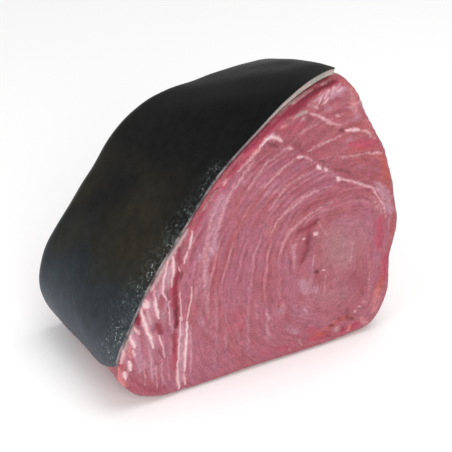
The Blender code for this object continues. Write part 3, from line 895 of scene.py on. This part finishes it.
def start_finish(name):
    """A new material, its shader, and the place on the object that its patterns read."""
    material = bpy.data.materials.new(name)
    material.use_nodes = True
    Flow.tree = material.node_tree
    shader = material.node_tree.nodes["Principled BSDF"]
    return material, shader, Flow.node("ShaderNodeTexCoord", output="Object")


def painted(name):
    """A number that is stored on the mesh."""
    return Flow.node("ShaderNodeAttribute", {"attribute_name": name}, output="Fac")


def noise(place, size, detail=2.0, roughness=0.5):
    """Cloudy noise from 0 to 1 whose patches are about this size in mm."""
    sockets = {"Vector": place, "Scale": 1 / (size * MM), "Detail": detail, "Roughness": roughness}
    return Flow.node("ShaderNodeTexNoise", None, sockets)


def lay_over(under, over, share):
    """One colour laid over another as far as share says."""
    sockets = {0: share, 6: under, 7: over}
    return Flow.node("ShaderNodeMix", {"data_type": "RGBA"}, sockets, 2)


def brighten(colour, factor):
    """A colour made lighter or darker, with the factor's middle at 1."""
    grey = Flow.node("ShaderNodeCombineXYZ", None, {"X": factor, "Y": factor, "Z": factor})
    return Flow.node("ShaderNodeVectorMath", {"operation": "MULTIPLY"}, {0: colour, 1: grey})


def feed(shader, name, value):
    """Links a value to one of the shader's sockets."""
    Flow.tree.links.new(value.socket, shader.inputs[name])


# %% [markdown]
# Raw tuna is a wet, slightly see-through mauve red, and no single colour gives it. These are its
# tones: the ground's, those of the drawn tints, and those of the fat.

# %% Colours of the flesh
ROSE = (0.338, 0.098, 0.128, 1)
ROSE_DEEP = (0.250, 0.048, 0.074, 1)
MAUVE = (0.345, 0.118, 0.176, 1)
BROWN_ROSE = (0.327, 0.078, 0.088, 1)
CALM_ROSE = (0.335, 0.096, 0.130, 1)
EYE_GREY = (0.350, 0.152, 0.172, 1)
LILAC = (0.430, 0.205, 0.262, 1)
TISSUE = (0.560, 0.240, 0.275, 1)
RIM_RED = (0.330, 0.060, 0.078, 1)
BLUSH_RED = (0.390, 0.044, 0.090, 1)
WARM_RED = (0.415, 0.078, 0.062, 1)
SALMON_PINK = (0.560, 0.185, 0.190, 1)
CRIMSON_RED = (0.215, 0.007, 0.032, 1)
PARTING_SHADE_COLOUR = (0.105, 0.012, 0.018, 1)
FAT_PINK = (0.620, 0.325, 0.360, 1)
FAT_WHITE = (0.740, 0.600, 0.630, 1)
FAT_BEIGE = (0.440, 0.315, 0.310, 1)
SIDE_ROSE = (0.330, 0.066, 0.080, 1)

# %% [markdown]
# The fibres of the flesh lie along the rings, so its noise must be stretched along them. For that it
# gets a place of its own: one number counts the flakes outwards, and the direction from the eye
# tells where on the ring a point lies. On the sides the block was opened along the fish, so there
# the flakes show as slanting bands.

# %% Where the flesh's patterns lie
EYE_CENTRE = Vector((38.0, 0.0, 50.0)) * MM
FLAKE = 6 * MM
ALONG = 14 * MM
SIDE_FLAKE = 9 * MM
SIDE_SLANT = (0.10, 0.55, 0.84)

flesh_finish, shader, place = start_finish("flesh")
on_cut_face = painted("on_cut")
upper = painted("seam") > 0
phase = painted("rings") + (painted("fan") - painted("rings")) * upper
phase = phase + (noise(place, 16) - 0.5) * 0.6 + (noise(place, 1.6) - 0.5) * 0.08
heading = Flow.node("ShaderNodeVectorMath", {"operation": "SUBTRACT"}, {0: place, 1: EYE_CENTRE})
heading = Flow.node("ShaderNodeVectorMath", {"operation": "NORMALIZE"}, {0: heading})
heading = Flow.node("ShaderNodeVectorMath", {"operation": "SCALE"}, {0: heading, "Scale": ALONG})
across = Flow.node("ShaderNodeCombineXYZ", None, {"Y": phase * FLAKE})
grain_place = Flow.node("ShaderNodeVectorMath", {"operation": "MULTIPLY"}, {0: heading, 1: (1, 0, 1)})
grain_place = Flow.node("ShaderNodeVectorMath", {"operation": "ADD"}, {0: grain_place, 1: across})
streaks = noise(grain_place, 2.4, 3, 0.6)
fibres = noise(grain_place, 0.9, 2, 0.6)
tint = noise(grain_place, 7, 2)
grain = noise(place, 0.9, 3, 0.65)
along_slant = {0: place, 1: SIDE_SLANT}
slant = Flow.node("ShaderNodeVectorMath", {"operation": "DOT_PRODUCT"}, along_slant, "Value")
side_phase = slant / SIDE_FLAKE + (noise(place, 40, 0) - 0.5) * 1.8 + (noise(place, 2) - 0.5) * 0.06
print("places of patterns:", len(Flow.tree.nodes), "nodes")

# %% [markdown]
# A pale line lies wherever the count of flakes is a whole number, and a fainter one at the halves.
# Each line gets its own luck: some are strong and some hardly show. They break off in places, are
# left out of the eye, and fade below it and above the seam.

# %% Lines between the flakes
def flake_lines(phase, shown):
    """The pale lines at the whole numbers of a phase, and the darker bands beside them."""
    number = (phase + 0.5).maths("FLOOR")
    luck = Flow.node("ShaderNodeTexWhiteNoise", {"noise_dimensions": "1D"}, {"W": number})
    away = abs(phase - number)
    lines = (1 - away.step(0.02, 0.15)) * (0.35 + 0.65 * luck) * shown
    shade = (1 - abs(away - 0.22).step(0.02, 0.16)) * shown
    return lines, shade


up = Flow.node("ShaderNodeSeparateXYZ", None, {"Vector": place}, "Z") / MM
breaks = noise(place, 14).step(0.34, 0.60)
above_calm = up.step(28, 66)
fading = (0.25 + 0.75 * above_calm) * (1 - 0.45 * up.step(68, 86)) * (1 - 0.5 * upper)
outside_eye = painted("rings").step(-0.7, 0.5)
shown = outside_eye * on_cut_face * fading
cut_lines, cut_shade = flake_lines(phase, breaks * shown)
half_lines, _ = flake_lines(phase * 2, (1 - 0.6 * breaks) * shown)
side_lines, side_shade = flake_lines(side_phase, (0.12 + 0.63 * breaks) * (1 - on_cut_face))
lines = cut_lines.maths("MAXIMUM", half_lines * 0.30) + side_lines
shade = cut_shade + side_shade
print("with lines:", len(Flow.tree.nodes), "nodes")

# %% [markdown]
# The colour is built up in layers, as paint is: a cloudy ground, calmer towards the bottom, a greyer
# eye, the lines with a darker band beside them, the rim, and then the drawn tints. After them the
# whole is made a little grainy, and the partings and the fat come last, so that they stay clean.

# %% Layers of the flesh's colour
colour = lay_over(ROSE_DEEP, ROSE, streaks.step(0.18, 0.54))
colour = lay_over(colour, MAUVE, tint.step(0.42, 0.70) * 0.7)
colour = lay_over(colour, BROWN_ROSE, (1 - tint.step(0.30, 0.52)) * 0.5)
colour = lay_over(colour, BROWN_ROSE, upper * on_cut_face * 0.50)
colour = lay_over(colour, CALM_ROSE, (1 - above_calm) * on_cut_face * 0.45)
colour = lay_over(colour, EYE_GREY, painted("eye"))
colour = lay_over(colour, ROSE_DEEP, painted("deep"))
colour = lay_over(colour, SIDE_ROSE, (1 - on_cut_face) * 0.8)
colour = lay_over(colour, ROSE_DEEP, shade * 0.40)
lilac_streaks = streaks.step(0.54, 0.80) * outside_eye * on_cut_face
colour = lay_over(colour, LILAC, lilac_streaks * (0.20 + 0.28 * above_calm))
colour = lay_over(colour, TISSUE, lines * 0.64)
edge_of_cut = (1 - painted("rim").step(0.8, 5.0)) * on_cut_face
colour = lay_over(colour, RIM_RED, edge_of_cut * 0.6)
veil = painted("veil")
streaky = veil + (streaks - 0.5) * 1.5 + (noise(place, 2, 3, 0.6) - 0.5) * 0.5
colour = lay_over(colour, LILAC, streaky.step(0.15, 0.9) * 0.9)
colour = lay_over(colour, BLUSH_RED, (painted("blush") + (grain - 0.5) * 0.6).step(0.1, 1.0) * 0.85)
patchy = (grain - 0.5) * 0.7 + (noise(place, 4) - 0.5) * 0.8
colour = lay_over(colour, WARM_RED, (painted("warm") + patchy).step(0.1, 1.0) * 0.85)
colour = lay_over(colour, SALMON_PINK, (painted("salmon") + patchy).step(0.1, 1.0) * 0.9)
# Crimson, and partly painted shade in the groove under the skin.
crimson_and_gap_shade = (painted("crimson") + (streaks - 0.5) * 0.5).step(0.15, 0.95)
colour = lay_over(colour, CRIMSON_RED, crimson_and_gap_shade * 0.9)
rough = 0.95 + veil * 0.25 - painted("eye") * 0.5
mottle = noise(place, 2.8, 2) - 0.5
colour = brighten(colour, 1 + (grain - 0.5) * rough + (fibres - 0.5) * 0.75 + mottle * 0.45)
# Painted shade: the partings and the gap under the skin are darkened nearly to black.
colour = lay_over(colour, PARTING_SHADE_COLOUR, (painted("parting_and_shade") + (grain - 0.5) * 0.8).step(0.15, 0.9) * 0.85)
ragged = (noise(place, 1.0, 2) - 0.5) * 0.8
colour = lay_over(colour, FAT_BEIGE, (painted("beige") + ragged).step(0.1, 1.0) * 0.9)
fine = painted("fine_fat") + ragged
colour = lay_over(colour, FAT_PINK, fine.step(0.1, 0.9) * 0.9)
colour = lay_over(colour, FAT_WHITE, fine.step(0.65, 1.20) * 0.9)
thick = painted("fat") + ragged * 0.8
colour = lay_over(colour, FAT_PINK, thick.step(0.03, 0.72) * 0.95)
colour = lay_over(colour, FAT_WHITE, thick.step(0.60, 1.15) * 0.95)
feed(shader, "Base Color", colour)

# %% [markdown]
# Fresh fish is moist but not dripping: mostly satin, with a thin wet coat in patches. A little light
# goes in and comes out again near by, which the subsurface sockets give. The bump adds the grain
# that is too fine for the mesh.

# %% Gloss and grain of the flesh
feed(shader, "Roughness", 0.42 + (grain - 0.5) * 0.3)
shader.inputs["Specular IOR Level"].default_value = 0.25
shader.inputs["Subsurface Weight"].default_value = 0.10
shader.inputs["Subsurface Radius"].default_value = (1.0, 0.35, 0.3)
shader.inputs["Subsurface Scale"].default_value = 1.2 * MM
shader.inputs["Coat Roughness"].default_value = 0.22
feed(shader, "Coat Weight", noise(place, 5).step(0.50, 0.80) * 0.15)
height = grain * 0.6 + streaks * 0.5 + lines * 0.4 + noise(place, 3) * 0.8
bump = Flow.node("ShaderNodeBump", None, {"Strength": 0.4, "Distance": 0.3 * MM, "Height": height})
feed(shader, "Normal", bump)
flesh.data.materials.append(flesh_finish)
print("flesh finish:", len(Flow.tree.nodes), "nodes")

# %% [markdown]
# Tuna skin is one tough sheet, near black, smooth and satin, with a pale layer of fat on its inner
# side that shows only as a thin line where it was cut. The copy of the solid is turned back into
# four-sided faces. Before it is refined, each corner is marked as inner or outer, because the
# Subdivision Surface modifier then spreads the mark smoothly over the cut edge. The edge is creased,
# or the modifier would round it away.

# %% The skin's mesh
SKIN_AXIS = (5.0, 50.0)
CREASE_ANGLE = math.radians(45)

skin = copy_solid("skin", "skin_sheet")
bpy.ops.object.mode_set(mode="EDIT")
bpy.ops.mesh.select_all(action="SELECT")
bpy.ops.mesh.tris_convert_to_quads(face_threshold=math.radians(40), shape_threshold=math.radians(40))
bpy.ops.mesh.select_all(action="DESELECT")
bpy.context.tool_settings.mesh_select_mode = (False, True, False)
bpy.ops.mesh.edges_select_sharp(sharpness=CREASE_ANGLE)
bpy.ops.transform.edge_crease(value=1.0)
bpy.ops.object.mode_set(mode="OBJECT")
skin_places = read(skin.data.vertices, "co") / MM
skin_normals = read(skin.data.vertices, "normal")
out_x = skin_places[:, 0] - SKIN_AXIS[0]
out_z = skin_places[:, 2] - SKIN_AXIS[1]
inner = (skin_normals[:, 0] * out_x + skin_normals[:, 2] * out_z) < 0
paint(skin, "inner", inner)
apply(skin, "SUBSURF", levels=2, render_levels=2)
skin_places = read(skin.data.vertices, "co") / MM
print("skin:", triangles(skin), "triangles, corners inside:", int(inner.sum()), "of", len(inner))

# %% [markdown]
# The skin isn't quite even: it dips and swells over the flesh by some tenths of a millimetre.
# Low down, along the front cut, some tiny scales still hold and catch the light. They are kept as a
# mark that is 1 in that strip, and the finish paints their sheen and glints into the colour.

# %% Undulation and scales
SKIN_SWELL = 0.15
SKIN_WAVE = 22.0
SCALE_STRIP = ((-62.0, 26.0), (-54.0, 46.0), (-45.0, 62.0), (-32.0, 82.0), (-20.0, 97.0))

skin_normals = read(skin.data.vertices, "normal")
strip_gap, _, strip_share = line_gap(SCALE_STRIP, skin_places[:, 0], skin_places[:, 2])
depth_in = skin_places[:, 1] - front_y
scaled = smooth_step(20, 2, depth_in + 10 * strip_share) * smooth_step(14, 6, strip_gap)
rise = SKIN_SWELL * ripple(skin_places, SKIN_WAVE, 31) * smooth_step(0.0, 5.0, depth_in)
skin_places += skin_normals * rise[:, None]
skin.data.vertices.foreach_set("co", (skin_places * MM).ravel())
skin.data.update()
paint(skin, "scaled", scaled)
pick(skin)
bpy.ops.object.shade_smooth_by_angle(angle=CREASE_ANGLE)
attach(skin, "root")
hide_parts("skin")
print("scales over", round(float((scaled > 0.3).mean()), 2), "of the skin")

# %% [markdown]
# The skin's colour hardly changes, so most of its look is gloss. The ground is black, a little
# brown on the upper flank and darker towards the top. Lower down a painted bluish reflection of the
# floor lies over it, palest at the very foot. In the strip of scales a painted mottled sheen lies
# over it, and small clusters of specks are painted glints. The cut edge is grey and worn low down,
# where the skin is thin, and turns to the pale beige of fat towards the top.

# %% The skin's finish
BLACK = (0.0088, 0.0090, 0.0090, 1)
BROWN = (0.0235, 0.0205, 0.0135, 1)
FLOOR_REFLECTION_BLUE = (0.0350, 0.0450, 0.0550, 1)
FOOT_REFLECTION = (0.0700, 0.0760, 0.0950, 1)
SHEEN = (0.0600, 0.0720, 0.0700, 1)
EDGE_GREY = (0.270, 0.215, 0.225, 1)
EDGE_PALE = (0.400, 0.320, 0.300, 1)
EDGE_GREEN = (0.290, 0.270, 0.250, 1)
GLINT = (0.360, 0.390, 0.400, 1)
SCALE_SIZE = 1.5 * MM

skin_finish, shader, place = start_finish("skin")
height_up = Flow.node("ShaderNodeSeparateXYZ", None, {"Vector": place}, "Z") / MM
high = (height_up + (noise(place, 20) - 0.5) * 30).step(22, 72)
# Painted reflection: lower down the black turns to the floor's bluish reflection, palest at the foot.
colour = lay_over(FLOOR_REFLECTION_BLUE, BLACK, high)
colour = lay_over(colour, FOOT_REFLECTION, (1 - (height_up + (noise(place, 9) - 0.5) * 10).step(24, 42)) * 0.6)
flank = high * (1 - height_up.step(70, 110))
colour = lay_over(colour, BROWN, noise(place, 26, 3).step(0.36, 0.70) * flank)
mottle = noise(place, 4, 4, 0.6)
# Darker towards the top.
colour = brighten(colour, 0.5 + mottle - height_up.step(85, 130) * 0.45)
scaled_strip = painted("scaled")
# Painted sheen and painted glints in the strip of scales.
colour = lay_over(colour, SHEEN, noise(place, 1.8, 3, 0.6).step(0.44, 0.64) * scaled_strip)
cells = {"Vector": place, "Scale": 1 / SCALE_SIZE}
scale_edge = Flow.node("ShaderNodeTexVoronoi", None, cells, "Distance")
specks = noise(place, 1.1, 2, 0.6).step(0.57, 0.68) * noise(place, 5, 2).step(0.42, 0.60)
glints = specks * scaled_strip
colour = lay_over(colour, GLINT, glints * 0.9)
worn = noise(place, 7, 3).step(0.42, 0.60).maths("MAXIMUM", height_up.step(100, 122))
edge = painted("inner").step(0.04, 0.38) * (0.25 + 0.75 * worn)
pale = lay_over(EDGE_PALE, EDGE_GREEN, noise(place, 5, 2).step(0.40, 0.60))
edge_colour = lay_over(EDGE_GREY, pale, height_up.step(113, 130))
edge_colour = brighten(edge_colour, 0.6 + noise(place, 1.4, 3, 0.6) * 0.8)
colour = lay_over(colour, edge_colour, edge)
feed(shader, "Base Color", colour)
feed(shader, "Roughness", 0.42 + (mottle - 0.5) * 0.2 - glints * 0.15 + edge * 0.1)
shader.inputs["Specular IOR Level"].default_value = 0.07
height = mottle * 0.5 + scale_edge * 0.35 + glints * 0.8
bump = Flow.node("ShaderNodeBump", None, {"Strength": 0.25, "Distance": 0.15 * MM, "Height": height})
feed(shader, "Normal", bump)
skin.data.materials.append(skin_finish)
print("skin finish:", len(Flow.tree.nodes), "nodes")

# %% [markdown]
# Last, the size of what shows is printed. It should be nearly the size of the solids, because
# dressing the part must not change its size.

# %% Sizes and the end
low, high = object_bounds()
print("shown, mm:", [round(size / MM, 2) for size in high - low])
